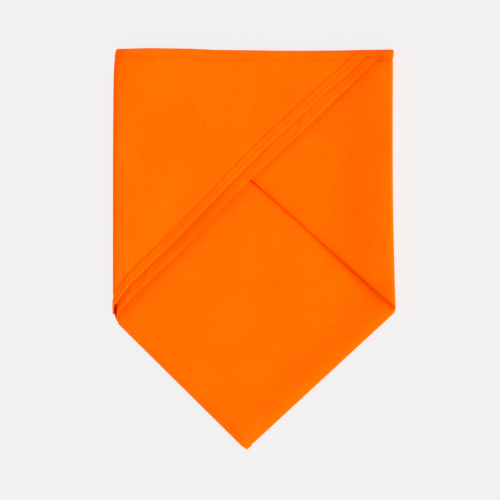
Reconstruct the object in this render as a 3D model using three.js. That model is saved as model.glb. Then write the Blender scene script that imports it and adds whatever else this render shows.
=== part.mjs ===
// A triangular cotton neckerchief with a turned hem along each side, folded and lying on a table.
// It is folded in half, so that a front ply lies on a back ply. Then its two ends are turned in over
// the middle: first the right end, which holds the half fold, and over it the left end, which holds the
// two tips. All the plies are one cloth, which runs on round each fold.
// Millimetres, +Z up. +Y points from the neckerchief's point to its short sides. The origin is on the
// table, under the middle of the folded pack.
import * as THREE from "three";

// The folded pack, seen from above
const WIDTH = 238; // from the left fold to the right fold
const DEPTH = 336; // from the short sides down to the point
const POINT_LEFT = 7; // the point lies this far left of the middle
const RIGHT_SIDE = 220; // the right fold's length
const RIGHT_LEAN = 2.4; // the right fold leans in by this much at its top
const FRONT_LEFT_SIDE = 225.5; // the left fold's length on the front ply
const BACK_LEFT_SIDE = 217.5; // the left fold's length on the back ply, which turns round the front one
const FRONT_SET_IN = 2; // the front ply turns back this far inside the back ply's fold

// How far the lower edge climbs on its way round a fold
const FRONT_CLIMB = 10.5;
const BACK_CLIMB = 18;
const RIGHT_CLIMB = 5.5;

// How far the turned ends stop short of the opposite fold
const FRONT_TIP_SHORT = 7.5;
const BACK_TIP_SHORT = 20;
const TUCKED_TIP_SHORT = 20;
const TIP_TAB = 3.5; // a short side's hem runs on this far past the long side

// Hidden under the left end, the tucked end's edge bends here, in shares of WIDTH and RIGHT_SIDE
const TUCK_BEND = { across: 0.434, up: 0.542 };

// The cloth
const CLOTH_WALL = 1.0;
const HEM_WALL = 1.3;
const HEM_WIDTH = 8;
const PLY_GAP = 0.6; // air between two hems that lie on each other
const SEAM_GAP = 0.3; // between a hem and the panel
const DRAPE = 40; // the left end comes down beside the tucked end over this distance
const DRAPE_MARGIN = 3; // and starts to come down this far outside it
const BLUNT = 1; // height of the end face where a strip runs out to a point

const COLOUR = 0xfe7201;

// Cells along each stretch of the cloth, and across it
const CELLS = { leftEnd: 18, turn: 10, left: 4, hemEnd: 1, right: 4, tucked: 4, tuckedTip: 4 };
const PANEL_ROWS = 14;
const HEM_ROWS = 1;
const HALF_FOLD_CELLS = 6;

// Heights: two plies make a pair, and each turned end lies on the pair below it
const PAIR = 2 * HEM_WALL + PLY_GAP;
const LAP = PAIR + PLY_GAP;
const TURN = PAIR + PLY_GAP / 2; // the height of a fold's axis, and the back ply's radius round it
const BULGE = PAIR / 2; // the half fold's radius

const HALF = WIDTH / 2;
const TOP = DEPTH / 2;
const HEM_LINE = TOP - HEM_WIDTH; // inner edge of the short sides' hems

const lerp = THREE.MathUtils.lerp;

// A column runs down a ply at x, from the short side to the ply's lower edge at y, and leans over by
// lean on the way. turned goes from 0 in the middle to 1 where the right end lies turned over, and to -1
// where the left end does. hemRise is how high up the column each millimetre of a hem along the lower
// edge reaches, and 0 where the lower edge is the half fold.
function column(x, y, turned, lean = 0, hemRise = 0) {
  return { x, y, turned, lean, hemRise };
}

function between(a, b, share) {
  const mixed = Object.keys(a).map((key) => [key, lerp(a[key], b[key], share)]);
  return Object.fromEntries(mixed);
}

// The column between a and b whose lower edge is this far below the short side
function atDrop(a, b, drop) {
  return between(a, b, (TOP - drop - a.y) / (b.y - a.y));
}

// How far up a hem one millimetre wide reaches, along an edge that climbs from a to b
function hemRiseAlong(a, b) {
  return Math.hypot(1, (b.y - a.y) / (b.x - a.x));
}

const RIGHT_AXIS = HALF - TURN - RIGHT_LEAN;
const RIGHT_CORNER = TOP - RIGHT_SIDE + BULGE;
const POINT = column(-POINT_LEFT, -TOP + BULGE, 0);
const RIGHT_START = column(RIGHT_AXIS, RIGHT_CORNER - RIGHT_CLIMB / 2, 0, RIGHT_LEAN);
const RIGHT_TURNED = column(RIGHT_AXIS, RIGHT_CORNER + RIGHT_CLIMB / 2, 1, RIGHT_LEAN);
const BEND = column(-HALF + TUCK_BEND.across * WIDTH, RIGHT_CORNER + TUCK_BEND.up * RIGHT_SIDE, 1);
const TUCKED_TIP = column(-HALF + TUCKED_TIP_SHORT, TOP, 1);

// The left half's columns on one ply: its tip, the two ends of its turn, and the point
function leftColumns(side, climb, setIn, tipShort) {
  const axis = -HALF + TURN + setIn;
  const corner = TOP - side;
  const tip = column(HALF - tipShort, TOP, -1);
  const turned = column(axis, corner + climb / 2, -1);
  const start = column(axis, corner - climb / 2, 0);
  const turnedRise = hemRiseAlong(turned, tip);
  const flatRise = hemRiseAlong(start, POINT);
  return {
    tip: { ...tip, hemRise: turnedRise },
    turned: { ...turned, hemRise: turnedRise },
    start: { ...start, hemRise: flatRise },
    point: { ...POINT, hemRise: flatRise },
  };
}

const FRONT = leftColumns(FRONT_LEFT_SIDE, FRONT_CLIMB, FRONT_SET_IN, FRONT_TIP_SHORT);
const BACK = leftColumns(BACK_LEFT_SIDE, BACK_CLIMB, 0, BACK_TIP_SHORT);

// The column this far up the half fold from the point
function upHalfFold(distance, hemRise) {
  const run = RIGHT_START.x + RIGHT_LEAN - POINT.x;
  const length = Math.hypot(run, RIGHT_START.y - POINT.y);
  return { ...between(POINT, RIGHT_START, distance / length), hemRise };
}

// How far x, y lies outside the line from a to b, which runs up and to the left
function outsideLine(a, b, x, y) {
  const across = (b.x - a.x) * (y - a.y) - (b.y - a.y) * (x - a.x);
  return across / Math.hypot(b.x - a.x, b.y - a.y);
}

// The left end lies a lap higher over the tucked end, and drapes down beside it
const TUCK_CORNER = { x: RIGHT_TURNED.x + RIGHT_LEAN, y: RIGHT_TURNED.y };
function lift(x, y) {
  const nearLower = outsideLine(TUCK_CORNER, BEND, x, y + BULGE);
  const nearUpper = outsideLine(BEND, TUCKED_TIP, x, y + BULGE);
  const outside = Math.max(nearLower, nearUpper);
  return LAP * (1 - THREE.MathUtils.smoothstep(outside, DRAPE_MARGIN, DRAPE_MARGIN + DRAPE));
}

// A place on the cloth: on a column, at y, and at a height in the pair of plies before its end is turned
function place(col, y, height) {
  const angle = Math.abs(col.turned) * Math.PI;
  const radius = TURN - height;
  const down = col.lean ? (TOP - y) / (TOP - col.y) : 0;
  const x = col.x + col.lean * down + Math.sign(col.turned) * radius * Math.sin(angle);
  const raised = col.turned < 0 ? (lift(x, y) * (1 - Math.cos(angle))) / 2 : 0;
  return new THREE.Vector3(x, y, TURN - radius * Math.cos(angle) + raised);
}

// The columns at the ends of every cell. Each stretch is a row of from, to and its number of cells.
function columnsOf(stretches) {
  const columns = [stretches[0][0]];
  for (const [from, to, cells] of stretches) {
    for (let i = 1; i <= cells; i += 1) columns.push(between(from, to, i / cells));
  }
  return columns;
}

// A closed wall over those cells of a grid that are present. outer and inner place its two faces.
function wallGeometry(columnCount, rowCount, present, outer, inner) {
  const positions = [];
  const faces = [];
  const known = new Map();
  const vertex = ([i, j], side) => {
    const key = `${i},${j},${side}`;
    if (!known.has(key)) {
      known.set(key, known.size);
      positions.push(...(side ? inner(i, j) : outer(i, j)).toArray());
    }
    return known.get(key);
  };
  const here = (i, j) => i >= 0 && j >= 0 && i < columnCount - 1 && j < rowCount - 1 && present(i, j);
  // The diagonal runs the same way on both sides of a seam, so that two twisted rims stay clear
  const addRim = (a, b) => {
    const [a0, b0, a1, b1] = [vertex(a, 0), vertex(b, 0), vertex(a, 1), vertex(b, 1)];
    const backwards = a[0] + a[1] > b[0] + b[1];
    faces.push(b0, a0, backwards ? b1 : a1);
    faces.push(backwards ? a0 : b0, a1, b1);
  };
  const addCell = (i, j) => {
    const [a, b, c, d] = [[i, j], [i, j + 1], [i + 1, j + 1], [i + 1, j]];
    faces.push(vertex(a, 0), vertex(b, 0), vertex(d, 0));
    faces.push(vertex(b, 0), vertex(c, 0), vertex(d, 0));
    faces.push(vertex(a, 1), vertex(d, 1), vertex(b, 1));
    faces.push(vertex(b, 1), vertex(d, 1), vertex(c, 1));
    if (!here(i - 1, j)) addRim(a, b);
    if (!here(i, j + 1)) addRim(b, c);
    if (!here(i + 1, j)) addRim(c, d);
    if (!here(i, j - 1)) addRim(d, a);
  };
  for (let i = 0; i < columnCount - 1; i += 1) {
    for (let j = 0; j < rowCount - 1; j += 1) {
      if (here(i, j)) addCell(i, j);
    }
  }
  const geometry = new THREE.BufferGeometry();
  geometry.setAttribute("position", new THREE.Float32BufferAttribute(positions, 3));
  geometry.setIndex(faces);
  geometry.computeVertexNormals();
  return geometry;
}

// A strip on one ply. upper and lower give its two edges on a column.
function plyStrip(columns, isFront, upper, lower, rows, wall) {
  const ordered = isFront ? columns : columns.toReversed();
  const at = (depth) => (i, j) => {
    const y = lerp(upper(ordered[i]), lower(ordered[i]), j / rows);
    return place(ordered[i], y, isFront ? PAIR - depth : depth);
  };
  return wallGeometry(columns.length, rows + 1, () => true, at(0), at(wall));
}

// The same strip on both plies. From the column joinedFrom on it is one wall round the half fold.
function pairStrip(front, back, joinedFrom, upper, lower, rows, wall) {
  const foldEnd = rows + HALF_FOLD_CELLS;
  const at = (depth) => (i, j) => {
    const [f, b] = [front[i], back[i]];
    if (j <= rows) return place(f, lerp(upper(f), lower(f), j / rows), PAIR - depth);
    if (j >= foldEnd) return place(b, lerp(lower(b), upper(b), (j - foldEnd) / rows), depth);
    const angle = (Math.PI * (j - rows)) / HALF_FOLD_CELLS;
    const radius = BULGE - depth;
    return place(f, lower(f) - radius * Math.sin(angle), BULGE + radius * Math.cos(angle));
  };
  const present = (i, j) => j < rows || j >= foldEnd || i >= joinedFrom;
  return wallGeometry(front.length, foldEnd + rows + 1, present, at(0), at(wall));
}

// The triangle of cloth inside the three hems
function panelGeometry() {
  const border = HEM_WIDTH + SEAM_GAP;
  const foldStart = upHalfFold(border, 0);
  const foldTip = atDrop(BEND, TUCKED_TIP, border + BLUNT);
  const columns = (ply) =>
    columnsOf([
      [atDrop(ply.tip, ply.turned, border + border * ply.tip.hemRise + BLUNT), ply.turned, CELLS.leftEnd],
      [ply.turned, ply.start, CELLS.turn],
      [ply.start, ply.point, CELLS.left],
      [ply.point, foldStart, CELLS.hemEnd],
      [foldStart, RIGHT_START, CELLS.right],
      [RIGHT_START, RIGHT_TURNED, CELLS.turn],
      [RIGHT_TURNED, BEND, CELLS.tucked],
      [BEND, foldTip, CELLS.tuckedTip],
    ]);
  const joinedFrom = CELLS.leftEnd + CELLS.turn + CELLS.left + CELLS.hemEnd;
  const upper = () => TOP - border;
  const lower = (col) => col.y + border * col.hemRise;
  return pairStrip(columns(FRONT), columns(BACK), joinedFrom, upper, lower, PANEL_ROWS, CLOTH_WALL);
}

// The long side's hem, from one tip round the half fold at the point to the other tip
function longHemGeometry() {
  const hemLine = HEM_LINE - SEAM_GAP;
  const clear = TOP - hemLine;
  const columns = (ply) => {
    const mitre = atDrop(ply.tip, ply.turned, clear + HEM_WIDTH * ply.tip.hemRise);
    return columnsOf([
      [atDrop(ply.tip, ply.turned, clear + BLUNT), mitre, 1],
      [mitre, ply.turned, CELLS.leftEnd],
      [ply.turned, ply.start, CELLS.turn],
      [ply.start, ply.point, CELLS.left],
      [ply.point, upHalfFold(HEM_WIDTH - BLUNT, BLUNT / HEM_WIDTH), CELLS.hemEnd],
    ]);
  };
  const joinedFrom = 1 + CELLS.leftEnd + CELLS.turn + CELLS.left;
  const upper = (col) => Math.min(col.y + HEM_WIDTH * col.hemRise, hemLine);
  const lower = (col) => col.y;
  return pairStrip(columns(FRONT), columns(BACK), joinedFrom, upper, lower, HEM_ROWS, HEM_WALL);
}

// A short side's hem, from a tip to the right-angled corner, which ends tucked
function shortHemGeometry(ply, isFront) {
  const columns = columnsOf([
    [{ ...ply.tip, x: ply.tip.x + TIP_TAB }, ply.turned, CELLS.leftEnd],
    [ply.turned, ply.start, CELLS.turn],
    [ply.start, RIGHT_START, CELLS.left + CELLS.right],
    [RIGHT_START, RIGHT_TURNED, CELLS.turn],
    [RIGHT_TURNED, BEND, CELLS.tucked],
    [BEND, atDrop(BEND, TUCKED_TIP, HEM_WIDTH), CELLS.tuckedTip],
    [atDrop(BEND, TUCKED_TIP, HEM_WIDTH), atDrop(BEND, TUCKED_TIP, BLUNT), 1],
  ]);
  const upper = () => TOP;
  const lower = (col) => (col.turned > 0 ? Math.max(HEM_LINE, col.y) : HEM_LINE);
  return plyStrip(columns, isFront, upper, lower, HEM_ROWS, HEM_WALL);
}

function clothMesh(name, geometry) {
  const material = new THREE.MeshStandardMaterial({ color: COLOUR, roughness: 0.85, metalness: 0 });
  const mesh = new THREE.Mesh(geometry, material);
  mesh.name = name;
  return mesh;
}

const neckerchief = new THREE.Group();
neckerchief.name = "neckerchief";
neckerchief.add(
  clothMesh("cloth_panel", panelGeometry()),
  clothMesh("long_hem", longHemGeometry()),
  clothMesh("front_short_hem", shortHemGeometry(FRONT, true)),
  clothMesh("back_short_hem", shortHemGeometry(BACK, false)),
);

export default neckerchief;
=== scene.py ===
"""A folded cotton neckerchief: thin cloth, turned hems and stitching, in the solid model's frame.

The cloth is drawn twice folded. A front ply lies on a back ply, joined along the half fold. Then the right
end is turned in over the middle, and the left end over it. Lengths here are millimetres until a mesh is
made, and a height is counted upwards through the pair of plies before an end is turned over."""

import math

import bpy
import numpy as np
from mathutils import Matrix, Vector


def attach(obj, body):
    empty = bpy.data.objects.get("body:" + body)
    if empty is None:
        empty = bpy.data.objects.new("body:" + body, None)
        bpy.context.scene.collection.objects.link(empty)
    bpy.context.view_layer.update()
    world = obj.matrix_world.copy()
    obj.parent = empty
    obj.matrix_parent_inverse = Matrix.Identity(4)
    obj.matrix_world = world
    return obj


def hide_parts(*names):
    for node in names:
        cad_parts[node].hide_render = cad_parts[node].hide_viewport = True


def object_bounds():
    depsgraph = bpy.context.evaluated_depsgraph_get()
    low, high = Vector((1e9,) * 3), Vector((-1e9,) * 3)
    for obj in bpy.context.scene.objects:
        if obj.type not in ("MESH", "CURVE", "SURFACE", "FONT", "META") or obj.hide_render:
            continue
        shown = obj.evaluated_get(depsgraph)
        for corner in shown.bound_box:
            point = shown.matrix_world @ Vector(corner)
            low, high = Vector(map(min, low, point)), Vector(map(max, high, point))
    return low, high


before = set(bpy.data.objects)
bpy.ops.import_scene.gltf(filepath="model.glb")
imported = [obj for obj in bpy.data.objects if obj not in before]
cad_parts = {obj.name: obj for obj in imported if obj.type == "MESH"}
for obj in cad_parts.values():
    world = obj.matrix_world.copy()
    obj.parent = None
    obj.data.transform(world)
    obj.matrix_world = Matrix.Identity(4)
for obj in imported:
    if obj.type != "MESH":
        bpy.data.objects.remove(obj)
cad_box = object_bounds()

MM = 0.001

# The folded pack, as the solid model has it
WIDTH = (cad_box[1].x - cad_box[0].x) / MM
DEPTH = (cad_box[1].y - cad_box[0].y) / MM
HALF, TOP = WIDTH / 2, DEPTH / 2
POINT_LEFT = 7  # how far left of the middle the point lies
RIGHT_SIDE = 220
RIGHT_LEAN = 2.4  # the right side leans in by this much at its top
# The left end, ply by ply: the length of its side, how far its lower edge climbs while it turns, how far
# its fold is set in, and how far its tip stops short of the right side
FRONT_LEFT_SIDE, FRONT_CLIMB, FRONT_SET_IN, FRONT_TIP_SHORT = 225.1, 10.5, 1.4, 7.5
BACK_LEFT_SIDE, BACK_CLIMB, BACK_SET_IN, BACK_TIP_SHORT = 218.6, 18, 0, 21.2
RIGHT_CLIMB = 5.5
TUCKED_TIP_SHORT = 20
TIP_TAB = 4.3  # the short hems reach this much further at their tips
TIP_GAP = 1  # the panel and the tucked short hems stop this far from the tip
TAB_WIDTH, TAB_WIDENS = 5.2, (10, 24)  # the short hem is narrow at its tips
TUCK_BEND_ACROSS, TUCK_BEND_UP = 0.434, 0.542  # where the tucked end's edge bends: shares of the two sides
PLY = 1.3  # room for one ply with its hem
PLY_GAP = 0.6
PAIR = 2 * PLY + PLY_GAP
LAP = PAIR + PLY_GAP
TURN = PAIR + PLY_GAP / 2
BULGE = PAIR / 2
DRAPE, DRAPE_MARGIN = 85, 3  # the left end drapes down beyond the tucked one: over how far, from how far out
POINT_OUT, POINT_ASIDE, HALF_FOLD_OUT, TUCK_IN = 1.9, 0.7, 1.2, 1.9  # thin cloth reaches a little further
LONG_EDGE_OUT = 0.65
POINT_BLUNT, POINT_BLUNT_REACH = 0.95, 2.6

# The real cloth
SHEET = 0.4  # thickness of the cloth
HEM_WIDTH = 8
LONG_HEM_WIDTH, LONG_HEM_WIDTH_TURNED, LONG_HEM_WIDTH_AT_TIP = 6.6, 7.3, 7.8
LONG_HEM_WIDENS = (-70, 50)  # x, between which the turned hem reaches its width at the tip
HEM_FACE = 0.03  # how deep the hem's face lies
HEM_FOLD = 0.46  # thickness of the two layers that are turned in
LIP = 0.9  # the cloth's rolled edge, which the panel stops short of
STITCH_LINE = {"long": 3.8, "short": 6.4}  # distance of the stitching from the edge
STITCH_DIP = {"long": 0.17, "short": 0.30}
STITCH_DIP_REACH = 0.75
STITCH_PITCH, STITCH_LENGTH, STITCH_RADIUS = 2.9, 2.1, 0.17
STITCH_PROUD = STITCH_RADIUS / 2  # how far the thread's middle stands above the cloth
REVERSE_DIP = 0.12  # how far the stitching draws the cloth in on the other side


def smooth(low, high, value):
    t = np.clip((value - low) / (high - low), 0, 1)
    return t * t * (3 - 2 * t)


def eased(x, table):
    """The value at x between the rows of a table of places and values, level at each row."""
    places, values = zip(*table)
    row = np.interp(x, places, range(len(places)))
    step = np.floor(row)
    return np.interp(step + smooth(0, 1, row - step), range(len(values)), values)


# Columns: each runs down a ply at x from the short side to the ply's lower edge
X, Y, TURNED, LEAN, RISE = range(5)


def column(x, y, turned, lean=0.0, rise=0.0):
    return np.array([x, y, turned, lean, rise], dtype=float)


def between(a, b, share):
    return a + (b - a) * share


def at_drop(a, b, drop):
    """The column between a and b whose lower edge is this far below the short side."""
    return between(a, b, (TOP - drop - a[Y]) / (b[Y] - a[Y]))


def hem_rise(a, b):
    """How far up a hem one millimetre wide reaches, along an edge that climbs from a to b."""
    return math.hypot(1, (b[Y] - a[Y]) / (b[X] - a[X]))


RIGHT_CORNER = TOP - RIGHT_SIDE + BULGE
RIGHT_AXIS = HALF - TURN - RIGHT_LEAN
POINT = column(-POINT_LEFT - POINT_ASIDE, -TOP + BULGE - POINT_OUT, 0)
RIGHT_START = column(RIGHT_AXIS, RIGHT_CORNER - RIGHT_CLIMB / 2 - HALF_FOLD_OUT, 0, RIGHT_LEAN)
RIGHT_TURNED = column(RIGHT_AXIS, RIGHT_CORNER + RIGHT_CLIMB / 2 + TUCK_IN, 1, RIGHT_LEAN)
BEND = column(-HALF + TUCK_BEND_ACROSS * WIDTH, RIGHT_CORNER + TUCK_BEND_UP * RIGHT_SIDE + TUCK_IN, 1)
TUCKED_TIP = column(-HALF + TUCKED_TIP_SHORT, TOP, 1)


def left_columns(side, climb, set_in, tip_short, sag, edge_out):
    axis, corner = -HALF + TURN + set_in, TOP - side
    tip = column(HALF - tip_short, TOP, -1)
    turned = column(axis, corner + climb / 2, -1)
    start = column(axis, corner - climb / 2 - LONG_EDGE_OUT, 0)
    point = POINT.copy()
    tip[RISE] = turned[RISE] = hem_rise(turned, tip)
    start[RISE] = point[RISE] = hem_rise(start, point)
    ends = {"tip": tip, "turned": turned, "start": start, "point": point}
    return ends | {"sag": sag, "edge_out": edge_out}


# How a free edge climbs through its turn, and how far it sags after it, fading over
TURN_SHARES, CLIMB_SHARES = (0, 0.08, 0.2, 0.5, 0.75, 1), (0, 0.20, 0.34, 0.40, 0.62, 1)
FRONT_SAG, BACK_SAG = (3.5, 2.0), (4.0, 8.0)

# How the turned free edges wander: x, how far out
FRONT_EDGE_OUT = (
    (-112, 0.0),
    (-84, 1.3),
    (-66, 3.0),
    (-50, 2.6),
    (-30, 0.9),
    (0, 0.4),
    (45, 1.9),
    (70, 1.2),
    (88, 1.1),
    (106, 0.0),
)
BACK_EDGE_OUT = (
    (-114, 0.0),
    (-106, -0.9),
    (-90, 0.3),
    (-70, 1.4),
    (-40, 0.9),
    (-20, -0.6),
    (11, -1.1),
    (30, 0.1),
    (62, 0.6),
    (80, 1.9),
    (97, 0.8),
)
FRONT = left_columns(
    FRONT_LEFT_SIDE, FRONT_CLIMB, FRONT_SET_IN, FRONT_TIP_SHORT, FRONT_SAG, FRONT_EDGE_OUT
)
BACK = left_columns(BACK_LEFT_SIDE, BACK_CLIMB, BACK_SET_IN, BACK_TIP_SHORT, BACK_SAG, BACK_EDGE_OUT)
TUCK_CORNER = column(RIGHT_AXIS + RIGHT_LEAN, RIGHT_TURNED[Y], 1)
FOLD_CORNER = column(RIGHT_AXIS + RIGHT_LEAN, RIGHT_START[Y], 0)


def columns_of(stretches):
    """Rows of from, to and cells become one array of columns."""
    columns = [stretches[0][0]]
    for a, b, cells in stretches:
        columns += [between(a, b, (i + 1) / cells) for i in range(cells)]
    return np.array(columns)


def up_half_fold(distance):
    """The column whose lower edge is this far up the half fold from the point."""
    run = RIGHT_START[X] + RIGHT_LEAN - POINT[X]
    return between(POINT, RIGHT_START, distance / math.hypot(run, RIGHT_START[Y] - POINT[Y]))


# How the cloth settles: its folds are lofty, and it sags between them
LOFT = {  # height, how far in from the fold it is highest, how far it reaches outwards and inwards
    "half": ((2.0, 9.5, 9.6, 15.0),),
    "right": ((0.2, 5.0, 8.0, 14.0), (8.1, 5.5, 30.0, 33.0)),
    "left": ((0.6, 8.0, 8.0, 12.0), (2.5, 8.0, 30.0, 45.0)),
}
TUCK_SETTLE, TUCK_ROUND = 2.3, 2.8  # the tucked end slopes down to its slanting edge: by how much, how fast
SETTLE_ACROSS = (-25, 10)  # x, between which that slope sets in
LOFT_BELOW = 0.45  # the lower ply of a turned end takes this share of its loft
LOFT_AT_RIGHT, LOFT_CLOSER = 0.8, 3.0  # towards the right the half fold is loftier, and closer to its line
RIGHTWARDS = (0.1 * HALF, 0.9 * HALF)  # x, between which that sets in
PINCH, PINCH_REACH = 0.6, 50  # the right fold loses this share of its loft at the right corner
TUCK_CLOSER, TUCK_CLOSER_ABOVE = 4.0, (60, 170)  # and is highest closer to its line above the corner
FOLD_POWER = (0.6, 0.22)  # 1 is a half circle round a turned end's fold, less is squarer: below, above
BAND_DIP = (  # x, how deep the cloth sinks along the left end's free edge, how far from it
    (-110, 1.15, 3.8),
    (-75, 0.90, 3.2),
    (-45, 0.42, 2.0),
    (0, 0.35, 2.0),
    (25, 0.70, 2.5),
    (50, 0.60, 2.5),
    (75, 0.20, 2.4),
    (105, 0.05, 2.4),
)
CORNER_DROOP, DROOP_ACROSS, DROOP_DOWN = 4.7, 14, 26  # the top left corner is pinched by its hems
PRESS_STEP, PRESS_FROM, PRESS_TO = 0.6, -14, 2  # an old press line up the middle
EDGE_BOW = 2.5  # the left end's free edge bows up by this much
RIM_RISE, RIM_REACH = 1.7, 28  # the left end rises towards its free edge, above the middle
RIM_COMES, RIM_GOES = (-30, 50), (55, 95)  # x, between which that sets in and fades
LONG_RISE, LONG_RISE_REACH = 1.1, 16  # the middle rises towards its lower left edge
HEM_CURL, CURL_AT_TIP = 2.6, 0.24  # the front ply's free hem curls up, less on the right
CURL_LEFT_OF = (15, -10)  # x, between which it reaches its full curl
CURL_REACH = 9.5
CURL_LIP, TOP_PLY_LIP, CURL_LIP_REACH = 0.25, 0.15, 1.4  # and its very edge rounds down again
TOP_PLY_CURL, TOP_PLY_CURL_AT_TIP = 0.2, -0.5  # the back ply's hem, on top, curls down on the right
TOP_PLY_LEFT_OF = (30, -60)  # x, between which it stops doing so
CORNER_IN = ((2.2, 5), (1.4, 32))  # the top left corner is drawn in: by how much, fading over
CORNER_FADE_X = 14
RIGHT_CORNER_OUT, RIGHT_CORNER_FADE = 0.5, 25  # the right fold swings out at its top
RIGHT_BOW = 0.38  # and in below
LEDGE_FROM, LEDGE_TO = 30, 60  # from here the lower plies show beyond the left end's short side
LEDGE_OUT, LEDGE_BACK = 0.15, 0.55
WAVES = (  # height, wavelength across, wavelength up, phase
    (0.20, 95.0, 150.0, 0.4),
    (0.14, -62.0, 88.0, 1.9),
    (0.10, 45.0, -120.0, 3.1),
    (0.07, 34.0, 41.0, 5.2),
)
MIDDLE_ROLLS, RIGHT_ROLLS, LEFT_ROLLS, LEFT_BELOW_ROLLS = 0.5, 0.2, 0.3, 0.2  # shares of those waves
TOP_EDGE_FADE = 30
TOP_EDGE = (  # share of the width from the left fold, drop of the short side
    (0.00, 0.4),
    (0.13, -0.35),
    (0.28, 0.15),
    (0.36, 1.05),
    (0.51, 1.5),
    (0.58, 1.75),
    (0.80, 1.7),
    (0.88, 1.35),
    (1.00, 1.1),
)


def inside(a, b, x, y):
    """How far x, y lies to the left of the line from a to b."""
    across = (b[X] - a[X]) * (y - a[Y]) - (b[Y] - a[Y]) * (x - a[X])
    return across / math.hypot(b[X] - a[X], b[Y] - a[Y])


def arch(share):
    """From 0 up to 1 halfway and back."""
    return 4 * share * (1 - share)


def loft(fold, distance):
    total = 0
    for height, top_at, outwards, inwards in LOFT[fold]:
        reach = np.where(distance < top_at, outwards, inwards)
        total = total + height * np.exp(-(((distance - top_at) / reach) ** 2))
    return total


def waves(x, y):
    total = 0
    for height, across, up, phase in WAVES:
        total = total + height * np.sin(2 * math.pi * (x / across + y / up) + phase)
    return total


def beyond_free_edge(x, y):
    """How far x, y lies outside the front ply's free edge, where the left end lies over the middle."""
    share = np.clip((x - FRONT["turned"][X]) / (FRONT["tip"][X] - FRONT["turned"][X]), 0, 1)
    bow = EDGE_BOW * arch(share) - eased(x, FRONT_EDGE_OUT)
    return -inside(FRONT["turned"], FRONT["tip"], x, y - bow)


def band_dip(x, y):
    places, depths, reaches = zip(*BAND_DIP)
    distance = np.clip(beyond_free_edge(x, y), 0, None)
    return np.interp(x, places, depths) * np.exp(-((distance / np.interp(x, places, reaches)) ** 2))


def rim_rise(x, y):
    rim = RIM_RISE * np.exp(-((beyond_free_edge(x, y) / RIM_REACH) ** 2))
    return rim * smooth(*RIM_COMES, x) * (1 - smooth(*RIM_GOES, x))


def half_fold_loft(x, y):
    rightness = smooth(*RIGHTWARDS, x)
    half = loft("half", inside(POINT, FOLD_CORNER, x, y + BULGE) + LOFT_CLOSER * rightness)
    return half * (1 + LOFT_AT_RIGHT * rightness)


def tuck_loft(x, y):
    """How far the tucked end rises beside the right fold, less its slope down to its slanting edge."""
    within = np.clip(-inside(TUCK_CORNER, BEND, x, y + BULGE), 0, None)
    slope = TUCK_SETTLE * np.exp(-within / TUCK_ROUND) * smooth(*SETTLE_ACROSS, x)
    above_corner = y - TUCK_CORNER[Y]
    pinch = 1 - PINCH * (1 - smooth(0, PINCH_REACH, above_corner))
    closer = TUCK_CLOSER * smooth(*TUCK_CLOSER_ABOVE, above_corner)
    return pinch * loft("right", HALF - RIGHT_LEAN - x + closer) - slope


def over_tuck(x, y):
    """1 where the left end lies on the tucked one, less where it drapes down beyond it."""
    outside = np.maximum(
        inside(TUCK_CORNER, BEND, x, y + BULGE), inside(BEND, TUCKED_TIP, x, y + BULGE)
    )
    return 1 - smooth(DRAPE_MARGIN, DRAPE_MARGIN + DRAPE, outside)


def raised(x, y, level_left, level_right, share):
    """How far the cloth is lifted at x, y. level_left and level_right say how far each end is turned over
    here, and share is 0 on the back ply and 1 on the front one."""
    rolling = waves(x, y)
    press = PRESS_STEP * (1 - smooth(PRESS_FROM, PRESS_TO, x))
    base = half_fold_loft(x, y) + MIDDLE_ROLLS * rolling + press
    dip = band_dip(x, y)
    tuck = tuck_loft(x, y)
    long_rise = LONG_RISE * np.exp(-((inside(FRONT["start"], POINT, x, y) / LONG_RISE_REACH) ** 2))
    middle = share * (base - dip + long_rise)
    upper = 1 - share * (1 - LOFT_BELOW)
    right_end = base + upper * tuck + (1 - share) * (RIGHT_ROLLS * rolling - dip)
    droop = CORNER_DROOP * np.exp(-(x + HALF) / DROOP_ACROSS - (TOP - y) / DROOP_DOWN)
    left_end = base + over_tuck(x, y) * (LAP + tuck) + upper * (loft("left", x + HALF) - droop)
    rolls = LEFT_ROLLS + LEFT_BELOW_ROLLS * (1 - share)
    left_end = left_end + rim_rise(x, y) + rolls * rolling
    flat = 1 - level_left - level_right
    return flat * middle + level_right * right_end + level_left * left_end


def hem_curl(x, share, hem):
    """How far the long hem curls up at this distance from its edge, less where the very edge rounds down."""
    leftness = smooth(*CURL_LEFT_OF, x)
    front_curl = HEM_CURL * between(CURL_AT_TIP, 1, leftness)
    top_ply_curl = between(TOP_PLY_CURL_AT_TIP, TOP_PLY_CURL, smooth(*TOP_PLY_LEFT_OF, x))
    curl = between(top_ply_curl, front_curl, share) * np.clip(1 - hem / CURL_REACH, 0, 1)
    lip = between(TOP_PLY_LIP, CURL_LIP * leftness, share) * np.exp(-((hem / CURL_LIP_REACH) ** 2))
    return curl - lip


def settled(x, y, down, left):
    """x and y where the short side sags, the point is blunt and the upper corners are drawn in or out."""
    shares, drops = zip(*TOP_EDGE)
    drop = np.interp((x + HALF) / WIDTH, shares, drops)
    drop = drop + smooth(LEDGE_FROM, LEDGE_TO, x) * between(-LEDGE_OUT, LEDGE_BACK, left)
    y = y - drop * np.exp(-(TOP - y) / TOP_EDGE_FADE)
    from_point = ((x - POINT[X]) ** 2 + (y - POINT[Y]) ** 2) / POINT_BLUNT_REACH**2
    y = y + POINT_BLUNT * np.exp(-from_point)
    drawn_in = sum(by * np.exp(-(TOP - y) / fade) for by, fade in CORNER_IN)
    x = x + drawn_in * np.exp(-(x + HALF) / CORNER_FADE_X)
    swing = RIGHT_CORNER_OUT * np.exp(-(TOP - y) / RIGHT_CORNER_FADE)
    swing = swing - RIGHT_BOW * np.sin(math.pi * down)
    return x + swing * np.exp(-(HALF - x) / CORNER_FADE_X), y


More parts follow.
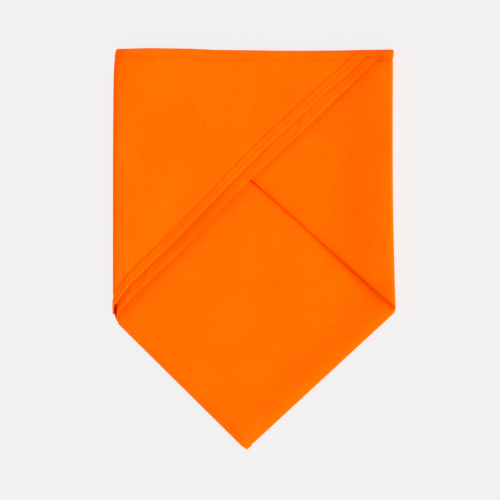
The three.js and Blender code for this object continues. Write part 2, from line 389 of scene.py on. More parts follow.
def place(col, y, height, hem=None):
    """A place on the cloth: on a column, at y, and at a height in the pair before its end is turned. hem is
    the distance from the long hem's edge, for what curls with it."""
    turned = col[..., TURNED]
    angle = np.abs(turned) * math.pi
    radius = TURN - height
    over = (1 - np.cos(angle)) / 2
    left, right = np.where(turned < 0, over, 0), np.where(turned > 0, over, 0)
    down = np.clip((TOP - y) / np.maximum(TOP - col[..., Y], 1), 0, 1)
    out = radius * np.abs(np.sin(angle)) ** np.where(over < 0.5, *FOLD_POWER)
    x = col[..., X] + col[..., LEAN] * down**3 + np.sign(turned) * out
    z = TURN - radius * np.cos(angle)
    share = np.clip(height / PAIR, 0, 1)
    z = z + raised(x, y, left, right, share)
    if hem is not None:
        z = z + left * hem_curl(x, share, hem)
    x, y = settled(x, y, down, left)
    return np.stack([x, y, z], axis=-1)


def bowed(columns, ply):
    """The left end's lower edge bows up between its fold and its tip, wanders, and sags at the fold."""
    sag, fading = ply["sag"]
    tip, start = columns[0, X], columns[columns[:, TURNED] > -1][0, X]
    share = np.clip((columns[:, X] - start) / (tip - start), 0, 1)
    turned = np.clip(-columns[:, TURNED], 0, 1)
    fade = np.exp(-np.clip(columns[:, X] - start, 0, None) / fading)
    out = columns.copy()
    out[:, Y] += np.where(turned > 0, EDGE_BOW * arch(share), 0)
    out[:, Y] -= turned * eased(columns[:, X], ply["edge_out"])
    late = turned - np.interp(turned, TURN_SHARES, CLIMB_SHARES)
    out[:, Y] -= sag * smooth(0, 1, turned) * fade + late * (ply["turned"][Y] - ply["start"][Y])
    return out


def cloth_length(columns):
    """Distance along the short side from each column to the last one."""
    top = place(columns, np.full(len(columns), TOP), PAIR / 2)
    steps = np.linalg.norm(np.diff(top, axis=0), axis=1)
    return np.concatenate([np.cumsum(steps[::-1])[::-1], [0]])


def length_to_point():
    """Distance along the short side from the right-angled corner, which lies tucked, to the point."""
    stops = (POINT, RIGHT_START, RIGHT_TURNED, BEND, TUCKED_TIP)
    return cloth_length(columns_of(list(zip(stops, stops[1:], LENGTH_CELLS))))[0]


def along_long_hem(columns):
    """Each column's distance from the tucked corner along its short side, and along the long hem."""
    length = cloth_length(columns) + length_to_point()
    return length, (length - (TOP - columns[:, Y])) / math.sqrt(2)


# Meshes

SHARP_ANGLE = 50


def finish_mesh(name, points, faces, grain, material):
    """The piece made of those points that its faces use, with nothing below the floor."""
    mesh = bpy.data.meshes.new(name)
    used, packed = np.unique(np.concatenate([np.ravel(f) for f in faces]), return_inverse=True)
    sizes = [len(f) for f in faces]
    ends = np.cumsum(sizes)
    packed = packed.ravel()
    loops = [packed[end - size : end].tolist() for size, end in zip(sizes, ends)]
    places = points[used] * MM
    places[:, 2] = np.maximum(places[:, 2], 0)
    mesh.from_pydata(places.tolist(), [], loops)
    layer = mesh.uv_layers.new(name="grain")
    layer.data.foreach_set("uv", (grain[used][packed] * MM).ravel())
    mesh.polygons.foreach_set("use_smooth", [True] * len(mesh.polygons))
    mesh.set_sharp_from_angle(angle=math.radians(SHARP_ANGLE))
    mesh.materials.append(material)
    mesh.update()
    piece = bpy.data.objects.new(name, mesh)
    bpy.context.scene.collection.objects.link(piece)
    return piece


def cell_corners(ids):
    return ids[:-1, :-1], ids[:-1, 1:], ids[1:, 1:], ids[1:, :-1]


def shell(name, outer, inner, present, grain, material):
    """A closed sheet over those cells of a grid that are present."""
    n, m = outer.shape[:2]
    top = np.arange(n * m).reshape(n, m)
    low = top + n * m
    points = np.concatenate([outer.reshape(-1, 3), inner.reshape(-1, 3)])
    uv = np.concatenate([grain.reshape(-1, 2)] * 2)
    padded = np.pad(present, 1)
    up, down = cell_corners(top), cell_corners(low)
    faces = [np.stack([q[present] for q in up], axis=1)]
    faces.append(np.stack([q[present] for q in down[::-1]], axis=1))
    neighbours = (padded[:-2, 1:-1], padded[1:-1, 2:], padded[2:, 1:-1], padded[1:-1, :-2])
    for side, beyond in enumerate(neighbours):
        rim = present & ~beyond
        after = (side + 1) % 4
        ring = (up[after], up[side], down[side], down[after])
        faces.append(np.stack([q[rim] for q in ring], axis=1))
    return finish_mesh(name, points, np.concatenate(faces), uv, material)


def tube(name, rings, grain, material):
    """A closed tube through rings of points, with a flat end on each."""
    n, k = rings.shape[:2]
    ids = np.arange(n * k).reshape(n, k)
    beside = np.roll(ids, -1, axis=1)
    sides = np.stack([ids[:-1], ids[1:], beside[1:], beside[:-1]], axis=-1).reshape(-1, 4)
    faces = list(sides) + [ids[0], ids[-1][::-1]]
    return finish_mesh(name, rings.reshape(-1, 3), faces, grain.reshape(-1, 2), material)


# The panel

PANEL_CELLS = {"end": 70, "turn": 18, "left": 38, "lip": 1, "right": 44, "tucked": 36, "tip": 22}
PANEL_ROWS = 88
FOLD_ROWS = 12
LENGTH_CELLS = (20, 12, 10, 10)  # steps in which the short side is measured, from stop to stop
DEPTH_AT_HEM = HEM_FOLD + HEM_FACE + SHEET / 2  # how deep the sheet's middle lies below a hem
DEPTH_INSIDE = 0.52
HEM_EASE = 9
NO_HEM = 1e3  # so far from the long hem that nothing curls
GROOVE, GROOVE_REACH = 0.35, 1.3  # the stitching draws the cloth down along the short hems' inner edge
HEM_ROWS = (0.9, 4.0, 6.8, 8.05, 8.6, 9.2, 10.0, 11.2, 13.0)  # the panel's first rows, below the short side
EDGE_ROWS = (9.6, 8.2, 7.4, 6.8, 5.8, 4.9, 4.3, 3.8, 3.3, 2.8, 2.0, 0.9)  # and its last, above the lower edge
ROOM_FOR_ROWS = 33  # a shorter column has its first and last rows closer together


def sheet_depth(from_top, from_edge):
    near = np.minimum(from_top, from_edge)
    depth = between(DEPTH_AT_HEM, DEPTH_INSIDE, smooth(HEM_WIDTH, HEM_WIDTH + HEM_EASE, near))
    return depth + GROOVE * np.exp(-(((from_top - HEM_WIDTH) / GROOVE_REACH) ** 2))


def panel_columns(ply):
    start = up_half_fold(LIP)
    tip = at_drop(ply["tip"], ply["turned"], LIP + LIP * ply["tip"][RISE] + TIP_GAP)
    cells = PANEL_CELLS
    columns = columns_of([
        (tip, ply["turned"], cells["end"]),
        (ply["turned"], ply["start"], cells["turn"]),
        (ply["start"], ply["point"], cells["left"]),
        (ply["point"], start, cells["lip"]),
        (start, RIGHT_START, cells["right"]),
        (RIGHT_START, RIGHT_TURNED, cells["turn"]),
        (RIGHT_TURNED, BEND, cells["tucked"]),
        (BEND, at_drop(BEND, TUCKED_TIP, LIP + TIP_GAP), cells["tip"]),
    ])
    return bowed(columns, ply)


def panel_ply(ply, columns, is_front, depth_offset):
    """One ply's grid, its rows running from the short side to the lower edge: its columns, y, heights and
    distances from the long hem's edge."""
    lower = (columns[:, Y] + LIP * columns[:, RISE])[:, None]
    rise = np.where(columns[:, RISE] > 0, columns[:, RISE], 1)[:, None]
    room = np.clip((TOP - lower) / ROOM_FOR_ROWS, 0, 1)
    first = TOP - np.array(HEM_ROWS) * room - LIP * (1 - room) * (TOP - lower) / ROOM_FOR_ROWS
    last = lower + (np.array(EDGE_ROWS) - LIP) * rise * room
    t = np.linspace(0, 1, PANEL_ROWS - len(HEM_ROWS) - len(EDGE_ROWS) + 3)[1:-1]
    y = np.concatenate([first, between(first[:, -1:], last[:, :1], t), last], axis=1)
    col = np.repeat(columns[:, None], PANEL_ROWS + 1, axis=1)
    hemmed = col[..., RISE] > 0
    from_edge = (y - col[..., Y]) / np.maximum(col[..., RISE], 1)
    from_edge = np.where(hemmed, from_edge, inside(ply["start"], ply["point"], col[..., X], y))
    depth = sheet_depth(TOP - y, from_edge) + depth_offset
    if depth_offset > 0:
        depth = depth + reverse_relief(col[..., X], from_edge)
    return col, y, PAIR - depth if is_front else depth, np.where(hemmed, from_edge, NO_HEM)


def make_panel(material):
    columns = {"front": panel_columns(FRONT), "back": panel_columns(BACK)}
    faces = []
    for offset in (-SHEET / 2, SHEET / 2):
        front = place(*panel_ply(FRONT, columns["front"], True, offset))
        back = place(*panel_ply(BACK, columns["back"], False, offset))
        _, y, height, _ = panel_ply(FRONT, columns["front"], True, offset)
        radius = height[:, -1:] - PAIR / 2
        angle = np.linspace(0, math.pi, FOLD_ROWS + 1)[1:-1]
        fold_col = np.repeat(columns["front"][:, None], len(angle), axis=1)
        fold = place(fold_col, y[:, -1:] - radius * np.sin(angle), PAIR / 2 + radius * np.cos(angle))
        faces.append(np.concatenate([front, fold, back[:, ::-1]], axis=1))
    grain = panel_grain(columns)
    present = np.ones((len(grain) - 1, grain.shape[1] - 1), dtype=bool)
    # The plies are joined along the half fold alone
    first_joined = sum(PANEL_CELLS[key] for key in ("end", "turn", "left", "lip"))
    present[:first_joined, PANEL_ROWS : PANEL_ROWS + FOLD_ROWS] = False
    return shell("cotton_cloth", faces[0], faces[1], present, grain, material)


def panel_grain(columns):
    """Cloth coordinates: distances from the two short sides, so that the weave runs on through the folds."""
    plies = []
    for ply, is_front, key in ((FRONT, True, "front"), (BACK, False, "back")):
        _, y, _, _ = panel_ply(ply, columns[key], is_front, 0)
        along = np.repeat(cloth_length(columns[key])[:, None], y.shape[1], axis=1)
        plies.append(np.stack([along, TOP - y] if is_front else [TOP - y, along], axis=-1))
    front, back = plies
    t = np.linspace(0, 1, FOLD_ROWS + 1)[1:-1][:, None]
    fold = between(front[:, -1:], back[:, -1:], t)
    return np.concatenate([front, fold, back[:, ::-1]], axis=1)


# The hems: a strip turned in over the panel, rolled at its outer edge and puckered along its stitching

HEM_OUTLINE = (  # share of the hem's width from the edge, depth; the stitching's dip and puckers are added
    (0.00, 0.46),
    (0.006, 0.26),
    (0.025, 0.12),
    (0.07, 0.06),
    (0.14, 0.03),
    (0.22, 0.03),
    (0.30, 0.03),
    (0.38, 0.03),
    (0.45, 0.03),
    (0.52, 0.03),
    (0.59, 0.03),
    (0.67, 0.03),
    (0.76, 0.04),
    (0.85, 0.06),
    (0.92, 0.10),
    (0.965, 0.16),
    (0.99, 0.24),
    (1.00, 0.34),
    (0.995, 0.44),
    (0.80, 0.46),
    (0.45, 0.46),
    (0.135, 0.46),
    (0.12, 0.66),
    (0.11, 0.90),
    (0.055, 0.90),
    (0.010, 0.72),
)
PUCKER = {"long": 0.32, "short": 0.10, "reverse": 0.60}
PUCKER_TURNED = ((-10, 2.3), (60, 1.6))  # where the long hem is turned over: x, how much deeper they are
PUCKER_MIDDLE = {"long": 0.35, "short": 0.0, "reverse": 0.65}  # the share of their depth that is level
REVERSE_STRIP, REVERSE_LINE = 3.0, 0.8  # how far puckers and dip reach on the panel's other side
PUCKER_LENGTH = {"long": 9.0, "short": 10.5, "reverse": 24}
PUCKER_SKEW = {"long": -2.3, "short": 0.25, "reverse": -1.8}
PUCKER_WANDER = ((0.55, 23, 1.3), (0.35, 9.7, 0.4))  # share of a pucker's length, over how far, phase
PUCKER_SWING, SWING_OVER, SWING_WANDER, SWING_WANDER_OVER = 0.25, 31, 0.8, 12.3  # they come and go
FINER, FINER_RATE, FINER_WANDER, FINER_PHASE = 0.38, 1.63, 0.7, 0.3  # and finer ones are mixed in
PUCKER_EASE = 1.2  # they reach their depth this far from the edge
STITCHED_DEPTH, STITCHED_SHARES = 0.3, (0.03, 0.97)  # the part of the outline that takes dip and puckers


def pucker(along, w, kind):
    """How deep the puckers are here, from 0 to 1."""
    phase = (along + PUCKER_SKEW[kind] * w) / PUCKER_LENGTH[kind]
    wander = sum(by * np.sin(along / over + shift) for by, over, shift in PUCKER_WANDER)
    swing = np.sin(along / SWING_OVER + SWING_WANDER * np.sin(along / SWING_WANDER_OVER))
    strength = 1 - PUCKER_SWING + PUCKER_SWING * swing
    main = np.sin(2 * math.pi * (phase + wander))
    finer = np.sin(2 * math.pi * (FINER_RATE * phase - FINER_WANDER * wander + FINER_PHASE))
    return strength * (1 + (1 - FINER) * main + FINER * finer) / 2


def hem_puckers(along, w, kind):
    return PUCKER[kind] * (pucker(along, w, kind) - PUCKER_MIDDLE[kind])


def deeper_puckers(columns):
    """How much deeper the long hem's puckers are at each column."""
    over = np.interp(columns[:, X], *zip(*PUCKER_TURNED))
    return between(1, over, np.clip(-columns[:, TURNED], 0, 1))


def reverse_relief(x, from_edge):
    """How far the panel's other side stands out behind the long hem: puckers, less the stitching's dip."""
    off = from_edge - STITCH_LINE["long"]
    folds = PUCKER_MIDDLE["reverse"] - pucker(x * math.sqrt(2), from_edge, "reverse")
    strip = PUCKER["reverse"] * np.exp(-((off / REVERSE_STRIP) ** 2))
    return strip * folds - REVERSE_DIP * np.exp(-((off / REVERSE_LINE) ** 2))


def hem_ring(along, width, kind, deeper=1.0):
    """The hem's section at each column, as distance from the edge and depth."""
    shares, depths = np.array(HEM_OUTLINE).T
    w = width[:, None] * shares
    first, last = STITCHED_SHARES
    stitched = ((depths < STITCHED_DEPTH) & (shares > first) & (shares < last))[None, :]
    dip = STITCH_DIP[kind] * np.exp(-(((w - STITCH_LINE[kind]) / STITCH_DIP_REACH) ** 2))
    deeper = np.broadcast_to(deeper, along.shape)[:, None]
    folds = hem_puckers(along[:, None], w, kind) * deeper * smooth(0, PUCKER_EASE, w)
    return w, depths + np.where(stitched, dip + folds, 0)


LONG_CELLS = {"tip": 6, "end": 170, "turn": 22, "left": 82}
FAN_STEPS = 6
TIP_START, TIP_CLEAR = 1.4, 0.4  # how far below the short side the long hem starts, and stays
HEM_OVERLAP = HEM_FOLD + 0.05  # at a tip the long hem lies on the short one
OVERLAP_ENDS = (HEM_WIDTH - 1.4, HEM_WIDTH + 1)


def long_hem_columns(ply):
    mitre = at_drop(ply["tip"], ply["turned"], TIP_CLEAR + LONG_HEM_WIDTH_AT_TIP * ply["tip"][RISE])
    columns = columns_of([
        (at_drop(ply["tip"], ply["turned"], TIP_START), mitre, LONG_CELLS["tip"]),
        (mitre, ply["turned"], LONG_CELLS["end"]),
        (ply["turned"], ply["start"], LONG_CELLS["turn"]),
        (ply["start"], ply["point"], LONG_CELLS["left"]),
    ])
    return bowed(columns, ply)


def overlap(drop):
    """How far the long hem is lifted where it lies on the short hem."""
    return HEM_OVERLAP * (1 - smooth(*OVERLAP_ENDS, drop))


def long_hem_ply(ply, is_front):
    """The hem's rings on one ply, their cloth coordinates, and how far along the hem the last one is."""
    columns = long_hem_columns(ply)
    reach = (TOP - TIP_CLEAR - columns[:, Y]) / columns[:, RISE]
    widened = smooth(*LONG_HEM_WIDENS, columns[:, X])
    width = between(LONG_HEM_WIDTH_TURNED, LONG_HEM_WIDTH_AT_TIP, widened)
    width = np.minimum(between(LONG_HEM_WIDTH, width, -columns[:, TURNED]), reach)
    leg, along = along_long_hem(columns)
    w, depth = hem_ring(along, width, "long", deeper_puckers(columns))
    col = np.repeat(columns[:, None], w.shape[1], axis=1)
    y = col[..., Y] + w * col[..., RISE]
    drop = TOP - y
    depth = depth - overlap(drop)
    rings = place(col, y, PAIR - depth if is_front else depth, w)
    length = np.repeat(leg[:, None], w.shape[1], axis=1)
    return rings, np.stack([length, drop] if is_front else [drop, length], axis=-1), along[-1]


def long_hem_turn(along_at_point):
    """The hem's way round the half fold at the point: it fans out to the fold's line on the front ply,
    rolls round the fold, and fans back on the back ply."""
    run = FOLD_CORNER[X] - POINT[X]
    fold_angle = math.atan2(FOLD_CORNER[Y] - POINT[Y], run)
    angles = np.linspace(math.pi / 2, fold_angle, FAN_STEPS + 1)[1:]
    reach = LONG_HEM_WIDTH / np.sin(angles + math.pi / 4)
    along = np.full(FAN_STEPS, along_at_point)
    w, depth = hem_ring(along, np.full(FAN_STEPS, LONG_HEM_WIDTH), "long")
    out = w / LONG_HEM_WIDTH * reach[:, None]
    x = POINT[X] + out * np.cos(angles)[:, None]
    y = POINT[Y] + out * np.sin(angles)[:, None]
    front_fan = flat_places(x, y, PAIR - depth)
    back_fan = flat_places(x[::-1], y[::-1], depth[::-1])
    roll = np.linspace(0, math.pi, FOLD_ROWS + 1)[1:-1][:, None]
    radius = PAIR / 2 - depth[-1:]
    push = radius * np.sin(roll)
    fold_x = x[-1:] + push * math.sin(fold_angle)
    fold_y = y[-1:] - push * math.cos(fold_angle)
    fold = flat_places(fold_x, fold_y, PAIR / 2 + radius * np.cos(roll))
    rings = np.concatenate([front_fan, fold, back_fan])
    length = length_to_point() + rings[..., 0] - POINT[X]
    return rings, np.stack([length, TOP - rings[..., 1]], axis=-1)


def flat_places(x, y, height):
    """Places on the middle of the pack, where neither end is turned over."""
    col = np.zeros(np.broadcast(x, y, height).shape + (5,))
    col[..., X], col[..., Y] = x, POINT[Y]
    y = y + np.zeros(col.shape[:-1])
    return place(col, y, height)


def make_long_hem(material):
    front, front_grain, along_at_point = long_hem_ply(FRONT, True)
    back, back_grain, _ = long_hem_ply(BACK, False)
    turn, turn_grain = long_hem_turn(along_at_point)
    rings = np.concatenate([front, turn, back[::-1]])
    grain = np.concatenate([front_grain, turn_grain, back_grain[::-1]])
    return tube("long_side_hem", rings, grain, material)


SHORT_CELLS = {"end": 110, "turn": 20, "middle": 110, "tucked": 50, "tip": 40, "mitre": 6}


def short_hem_columns(ply):
    tab = ply["tip"].copy()
    tab[X] += TIP_TAB
    mitre = at_drop(BEND, TUCKED_TIP, HEM_WIDTH)
    return columns_of([
        (tab, ply["turned"], SHORT_CELLS["end"]),
        (ply["turned"], ply["start"], SHORT_CELLS["turn"]),
        (ply["start"], RIGHT_START, SHORT_CELLS["middle"]),
        (RIGHT_START, RIGHT_TURNED, SHORT_CELLS["turn"]),
        (RIGHT_TURNED, BEND, SHORT_CELLS["tucked"]),
        (BEND, mitre, SHORT_CELLS["tip"]),
        (mitre, at_drop(BEND, TUCKED_TIP, TIP_GAP), SHORT_CELLS["mitre"]),
    ])


def make_short_hem(name, ply, is_front, material):
    columns = short_hem_columns(ply)
    tucked = columns[:, TURNED] > 0
    from_tip = np.where(columns[:, TURNED] < 0, columns[0, X] - columns[:, X], HALF)
    width = between(TAB_WIDTH, HEM_WIDTH, smooth(*TAB_WIDENS, from_tip))
    width = np.where(tucked, np.minimum(HEM_WIDTH, TOP - columns[:, Y]), width)
    along = cloth_length(columns)
    w, depth = hem_ring(along, width, "short")
    col = np.repeat(columns[:, None], w.shape[1], axis=1)
    rings = place(col, TOP - w, PAIR - depth if is_front else depth)
    length = np.repeat(along[:, None], w.shape[1], axis=1)
    grain = np.stack([length, w] if is_front else [w, length], axis=-1)
    return tube(name, rings[:, ::-1], grain[:, ::-1], material)


# Stitching

STITCH_SIDES = 6
STITCH_PROFILE = (  # share of the stitch's length, how far above its line, share of its radius
    (0.0, -0.22, 0.5),
    (0.2, 0.02, 1.0),
    (0.8, 0.02, 1.0),
    (1.0, -0.22, 0.5),
)
STITCH_MARGIN = 1  # the stitching stops this far from the ends of its line
PROBE = 0.1  # the way outwards is taken over this depth


def stitch_line(ply, kind):
    """The columns that the stitching runs through, its y there, and its depth in the hem."""
    if kind == "long":
        columns = long_hem_columns(ply)[LONG_CELLS["tip"] :]
        _, along = along_long_hem(columns)
        deeper = deeper_puckers(columns)
        y = columns[:, Y] + STITCH_LINE[kind] * columns[:, RISE]
        lifted = overlap(TOP - y)
    else:
        columns = short_hem_columns(ply)[: -SHORT_CELLS["mitre"]]
        along = cloth_length(columns)
        deeper = 1
        y = np.full(len(columns), TOP - STITCH_LINE[kind])
        lifted = 0
    folds = hem_puckers(along, STITCH_LINE[kind], kind) * deeper
    return columns, y, HEM_FACE + STITCH_DIP[kind] + folds - STITCH_PROUD - lifted


def stitch_path(ply, is_front, kind, reverse=False):
    """Places along the stitching on one ply, and the way outwards there. Its reverse lies on the panel's
    other side."""
    columns, y, depth = stitch_line(ply, kind)
    probe = -PROBE
    if reverse:
        relief = reverse_relief(columns[:, X], STITCH_LINE[kind])
        depth = DEPTH_AT_HEM + SHEET / 2 + relief + STITCH_PROUD
        probe = PROBE
    edge = STITCH_LINE[kind] if kind == "long" else None
    path, above = (
        place(columns, y, PAIR - deep if is_front else deep, edge) for deep in (depth, depth + probe)
    )
    outward = above - path
    return path, outward / np.linalg.norm(outward, axis=1)[:, None]


def sample(values, travelled, where):
    return np.stack([np.interp(where, travelled, values[:, k]) for k in range(3)], axis=-1)


def stitches_on(path, outward):
    """Rings for each stitch along a path."""
    steps = np.linalg.norm(np.diff(path, axis=0), axis=1)
    travelled = np.concatenate([[0], np.cumsum(steps)])
    starts = np.arange(STITCH_MARGIN, travelled[-1] - STITCH_LENGTH - STITCH_MARGIN, STITCH_PITCH)
    along, rise, size = np.array(STITCH_PROFILE).T
    at = starts[:, None] + along * STITCH_LENGTH
    up = sample(outward, travelled, at)
    centre = sample(path, travelled, at) + up * rise[:, None]
    forward = sample(path, travelled, starts + STITCH_LENGTH) - sample(path, travelled, starts)
    forward = forward / np.linalg.norm(forward, axis=1)[:, None]
    across = np.cross(forward[:, None], up)
    turn = np.linspace(0, 2 * math.pi, STITCH_SIDES, endpoint=False)
    reach = (STITCH_RADIUS * size)[:, None, None]
    around = up[:, :, None] * np.cos(turn)[:, None] + across[:, :, None] * np.sin(turn)[:, None]
    return centre[:, :, None] + reach * around


def make_stitching(material):
    lines = (
        (FRONT, True, "long"),
        (BACK, False, "long"),
        (FRONT, True, "short"),
        (BACK, False, "short"),
        (FRONT, True, "long", True),
    )
    rings = np.concatenate([stitches_on(*stitch_path(*line)) for line in lines])
    count, stations, sides = rings.shape[:3]
    ids = np.arange(count * stations * sides).reshape(count, stations, sides)
    beside = np.roll(ids, -1, axis=2)
    quads = np.stack([ids[:, :-1], ids[:, 1:], beside[:, 1:], beside[:, :-1]], axis=-1)
    faces = list(quads.reshape(-1, 4)) + list(ids[:, 0]) + list(ids[:, -1, ::-1])
    points = rings.reshape(-1, 3)
    return finish_mesh("hem_stitching", points, faces, points[:, :2], material)


# Materials

THREAD_SPACING = 0.36  # from one yarn of the weave to the next
BAND_PERIOD = 0.31416  # a band texture's own period at scale 1
CLOTH = (0.93, 0.091, 0.0001, 1.0)
CLOTH_DEEP = (0.91, 0.076, 0.0001, 1.0)
CLOTH_BRIGHT = (0.95, 0.106, 0.0002, 1.0)
THREAD = (0.93, 0.092, 0.0002, 1.0)
SHEEN_TINT = (1.0, 0.23, 0.002, 1.0)
SPECULAR_TINT = (1.0, 0.17, 0.001, 1.0)
ROUGHNESS, SPECULAR, SHEEN, SHEEN_ROUGHNESS = 0.82, 0.04, 0.05, 0.45
HEM_TONE = -0.06  # the hems are a little deeper in colour
NOISE_DETAIL = 2
# Streaks: their lengths in metres in the cloth's two directions
SLUB, CROSS_SLUB, BROAD = (0.014, 0.0011), (0.0010, 0.016), (0.050, 0.035)
THREAD_FLECK = (0.002, 0.002)
YARN_WANDER = 0.6
# Between the first value and the second a streak of noise becomes a slub
SLUB_EDGE, CROSS_EDGE, CROSS_LEVEL = (0.53, 0.67), (0.57, 0.72), 0.65
# How much each makes the shade differ from the middle one
SLUB_SHADE, MIDDLE_SHADE, BROAD_SHADE, YARN_SHADE = -0.50, 0.5, 0.6, 0.06
YARN_RELIEF, BUMP_STRENGTH, BUMP_DISTANCE = 0.35, 0.35, 0.00012


def new_material(name):
    material = bpy.data.materials.new(name)
    material.use_nodes = True
    shader = material.node_tree.nodes["Principled BSDF"]
    shader.inputs["Roughness"].default_value = ROUGHNESS
    shader.inputs["Specular IOR Level"].default_value = SPECULAR
    shader.inputs["Specular Tint"].default_value = SPECULAR_TINT
    shader.inputs["Sheen Weight"].default_value = SHEEN
    shader.inputs["Sheen Roughness"].default_value = SHEEN_ROUGHNESS
    shader.inputs["Sheen Tint"].default_value = SHEEN_TINT
    return material, material.node_tree, shader


def add(tree, kind, **settings):
    node = tree.nodes.new(kind)
    for key, value in settings.items():
        setattr(node, key, value)
    return node


def stretched_noise(tree, uv, lengths):
    """Noise in streaks of these lengths in the cloth's two directions."""
    mapping = add(tree, "ShaderNodeMapping")
    mapping.inputs["Scale"].default_value = (1 / lengths[0], 1 / lengths[1], 1)
    noise = add(tree, "ShaderNodeTexNoise")
    noise.inputs["Scale"].default_value = 1
    noise.inputs["Detail"].default_value = NOISE_DETAIL
    tree.links.new(uv, mapping.inputs["Vector"])
    tree.links.new(mapping.outputs["Vector"], noise.inputs["Vector"])
    return noise.outputs["Fac"]


def ramp(tree, value, stops):
    node = add(tree, "ShaderNodeValToRGB")
    elements = node.color_ramp.elements
    while len(elements) < len(stops):
        elements.new(0.5)
    for element, (position, colour) in zip(elements, stops):
        element.position = position
        element.color = colour
    tree.links.new(value, node.inputs["Fac"])
    return node.outputs["Color"]


def grey(level):
    return (level, level, level, 1)


def maths(tree, operation, *values):
    node = add(tree, "ShaderNodeMath", operation=operation)
    for socket, value in zip(node.inputs, values):
        if isinstance(value, (int, float)):
            socket.default_value = value
        else:
            tree.links.new(value, socket)
    return node.outputs["Value"]


def yarn_bands(tree, uv, direction):
    wave = add(tree, "ShaderNodeTexWave", wave_type="BANDS", bands_direction=direction)
    wave.inputs["Scale"].default_value = BAND_PERIOD / (THREAD_SPACING * MM)
    wave.inputs["Distortion"].default_value = YARN_WANDER
    wave.inputs["Detail"].default_value = 1
    tree.links.new(uv, wave.inputs["Vector"])
    return wave.outputs["Fac"]


def streaks(tree, uv, lengths, edge, level):
    noise = stretched_noise(tree, uv, lengths)
    return ramp(tree, noise, ((edge[0], grey(0)), (edge[1], grey(level))))


def cotton_material(name, tone):
    """Plain weave with slubs, thick places in the yarn. Most run in the first of the cloth's directions."""
    material, tree, shader = new_material(name)
    uv = add(tree, "ShaderNodeUVMap", uv_map="grain").outputs["UV"]
    slubs = streaks(tree, uv, SLUB, SLUB_EDGE, 1)
    slubs = maths(tree, "MAXIMUM", slubs, streaks(tree, uv, CROSS_SLUB, CROSS_EDGE, CROSS_LEVEL))
    broad = stretched_noise(tree, uv, BROAD)
    yarns = maths(tree, "ADD", yarn_bands(tree, uv, "X"), yarn_bands(tree, uv, "Y"))
    shade = maths(tree, "MULTIPLY_ADD", slubs, SLUB_SHADE, MIDDLE_SHADE)
    for value, middle, weight in ((broad, 0.5, BROAD_SHADE), (yarns, 1.0, YARN_SHADE)):
        offset = maths(tree, "MULTIPLY", maths(tree, "SUBTRACT", value, middle), weight)
        shade = maths(tree, "ADD", shade, offset)
    shade = maths(tree, "ADD", shade, tone)
    colour = ramp(tree, shade, ((0.0, CLOTH_DEEP), (0.5, CLOTH), (1.0, CLOTH_BRIGHT)))
    tree.links.new(colour, shader.inputs["Base Color"])
    relief = maths(tree, "ADD", maths(tree, "MULTIPLY", yarns, YARN_RELIEF), slubs)
    bump = add(tree, "ShaderNodeBump")
    bump.inputs["Strength"].default_value = BUMP_STRENGTH
    bump.inputs["Distance"].default_value = BUMP_DISTANCE
    tree.links.new(relief, bump.inputs["Height"])
    tree.links.new(bump.outputs["Normal"], shader.inputs["Normal"])
    return material


def thread_material():
    material, tree, shader = new_material("sewing_thread")
    uv = add(tree, "ShaderNodeUVMap", uv_map="grain").outputs["UV"]
    noise = stretched_noise(tree, uv, THREAD_FLECK)
    tree.links.new(ramp(tree, noise, ((0.3, CLOTH), (0.7, THREAD))), shader.inputs["Base Color"])
    return material


def floor_material():
    material, _, shader = new_material("pale_floor")
    shader.inputs["Base Color"].default_value = grey(FLOOR_GREY)
    shader.inputs["Emission Color"].default_value = grey(1)
    shader.inputs["Emission Strength"].default_value = FLOOR_GLOW
    shader.inputs["Specular IOR Level"].default_value = 0
    shader.inputs["Sheen Weight"].default_value = 0
    return material


# Floor, light and camera

DOME_STRENGTH = 0.722
KEY = (7.35, 25, -14, 36)  # strength, then in degrees height above the floor, direction and width
FILL = (2.0, 14, 166, 70)
FLOOR_GREY, FLOOR_GLOW = 0.12, 0.800  # a pale table lit from below as well, so that shadows stay faint
FLOOR_REACH = 12  # metres
FRAME_WIDTH = 420.0  # millimetres across the picture
PICTURE_CENTRE = (-3.6, -0.9)
CAMERA_HEIGHT = 5.0
SENSOR = 36
CLIP_END = 100


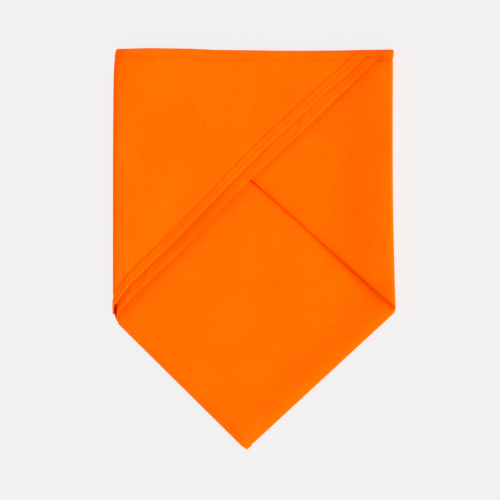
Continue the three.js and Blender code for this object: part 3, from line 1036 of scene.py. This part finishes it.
def make_stage():
    mesh = bpy.data.meshes.new("floor")
    corners = [(x * FLOOR_REACH, y * FLOOR_REACH, 0) for x, y in ((-1, -1), (1, -1), (1, 1), (-1, 1))]
    mesh.from_pydata(corners, [], [(0, 1, 2, 3)])
    mesh.materials.append(floor_material())
    floor = bpy.data.objects.new("floor", mesh)
    bpy.context.scene.collection.objects.link(floor)


def make_light(lit):
    world = bpy.data.worlds.new("studio")
    bpy.context.scene.world = world
    world.use_nodes = True
    world.node_tree.nodes["Background"].inputs["Color"].default_value = grey(1)
    world.node_tree.nodes["Background"].inputs["Strength"].default_value = DOME_STRENGTH
    cloth_only = bpy.data.collections.new("lit_by_lamps")
    for piece in lit:
        cloth_only.objects.link(piece)
    make_lamp("key", cloth_only, *KEY)
    make_lamp("fill", cloth_only, *FILL)


def make_lamp(name, receivers, strength, elevation, azimuth, spread):
    data = bpy.data.lights.new(name, "SUN")
    data.energy = strength
    data.angle = math.radians(spread)
    lamp = bpy.data.objects.new(name, data)
    bpy.context.scene.collection.objects.link(lamp)
    lamp.rotation_euler = (0, math.radians(90 - elevation), math.radians(azimuth))
    lamp.light_linking.receiver_collection = receivers


def make_camera():
    data = bpy.data.cameras.new("camera")
    data.sensor_width = SENSOR
    data.lens = SENSOR * CAMERA_HEIGHT / (FRAME_WIDTH * MM)
    data.clip_end = CLIP_END
    camera = bpy.data.objects.new("camera", data)
    bpy.context.scene.collection.objects.link(camera)
    camera.location = (PICTURE_CENTRE[0] * MM, PICTURE_CENTRE[1] * MM, CAMERA_HEIGHT)
    bpy.context.scene.camera = camera


make_camera()
cotton = cotton_material("cotton", 0.0)
hem_cotton = cotton_material("hem_cotton", HEM_TONE)
cloth = make_panel(cotton)
long_hem = make_long_hem(hem_cotton)
front_hem = make_short_hem("front_short_side_hem", FRONT, True, hem_cotton)
back_hem = make_short_hem("back_short_side_hem", BACK, False, hem_cotton)
stitching = make_stitching(thread_material())
pieces = (cloth, long_hem, front_hem, back_hem, stitching)
for piece in pieces:
    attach(piece, "root")
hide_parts("cloth_panel")
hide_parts("long_hem")
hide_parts("front_short_hem")
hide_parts("back_short_hem")
make_stage()
make_light(pieces)
bpy.context.scene.view_settings.view_transform = "Standard"
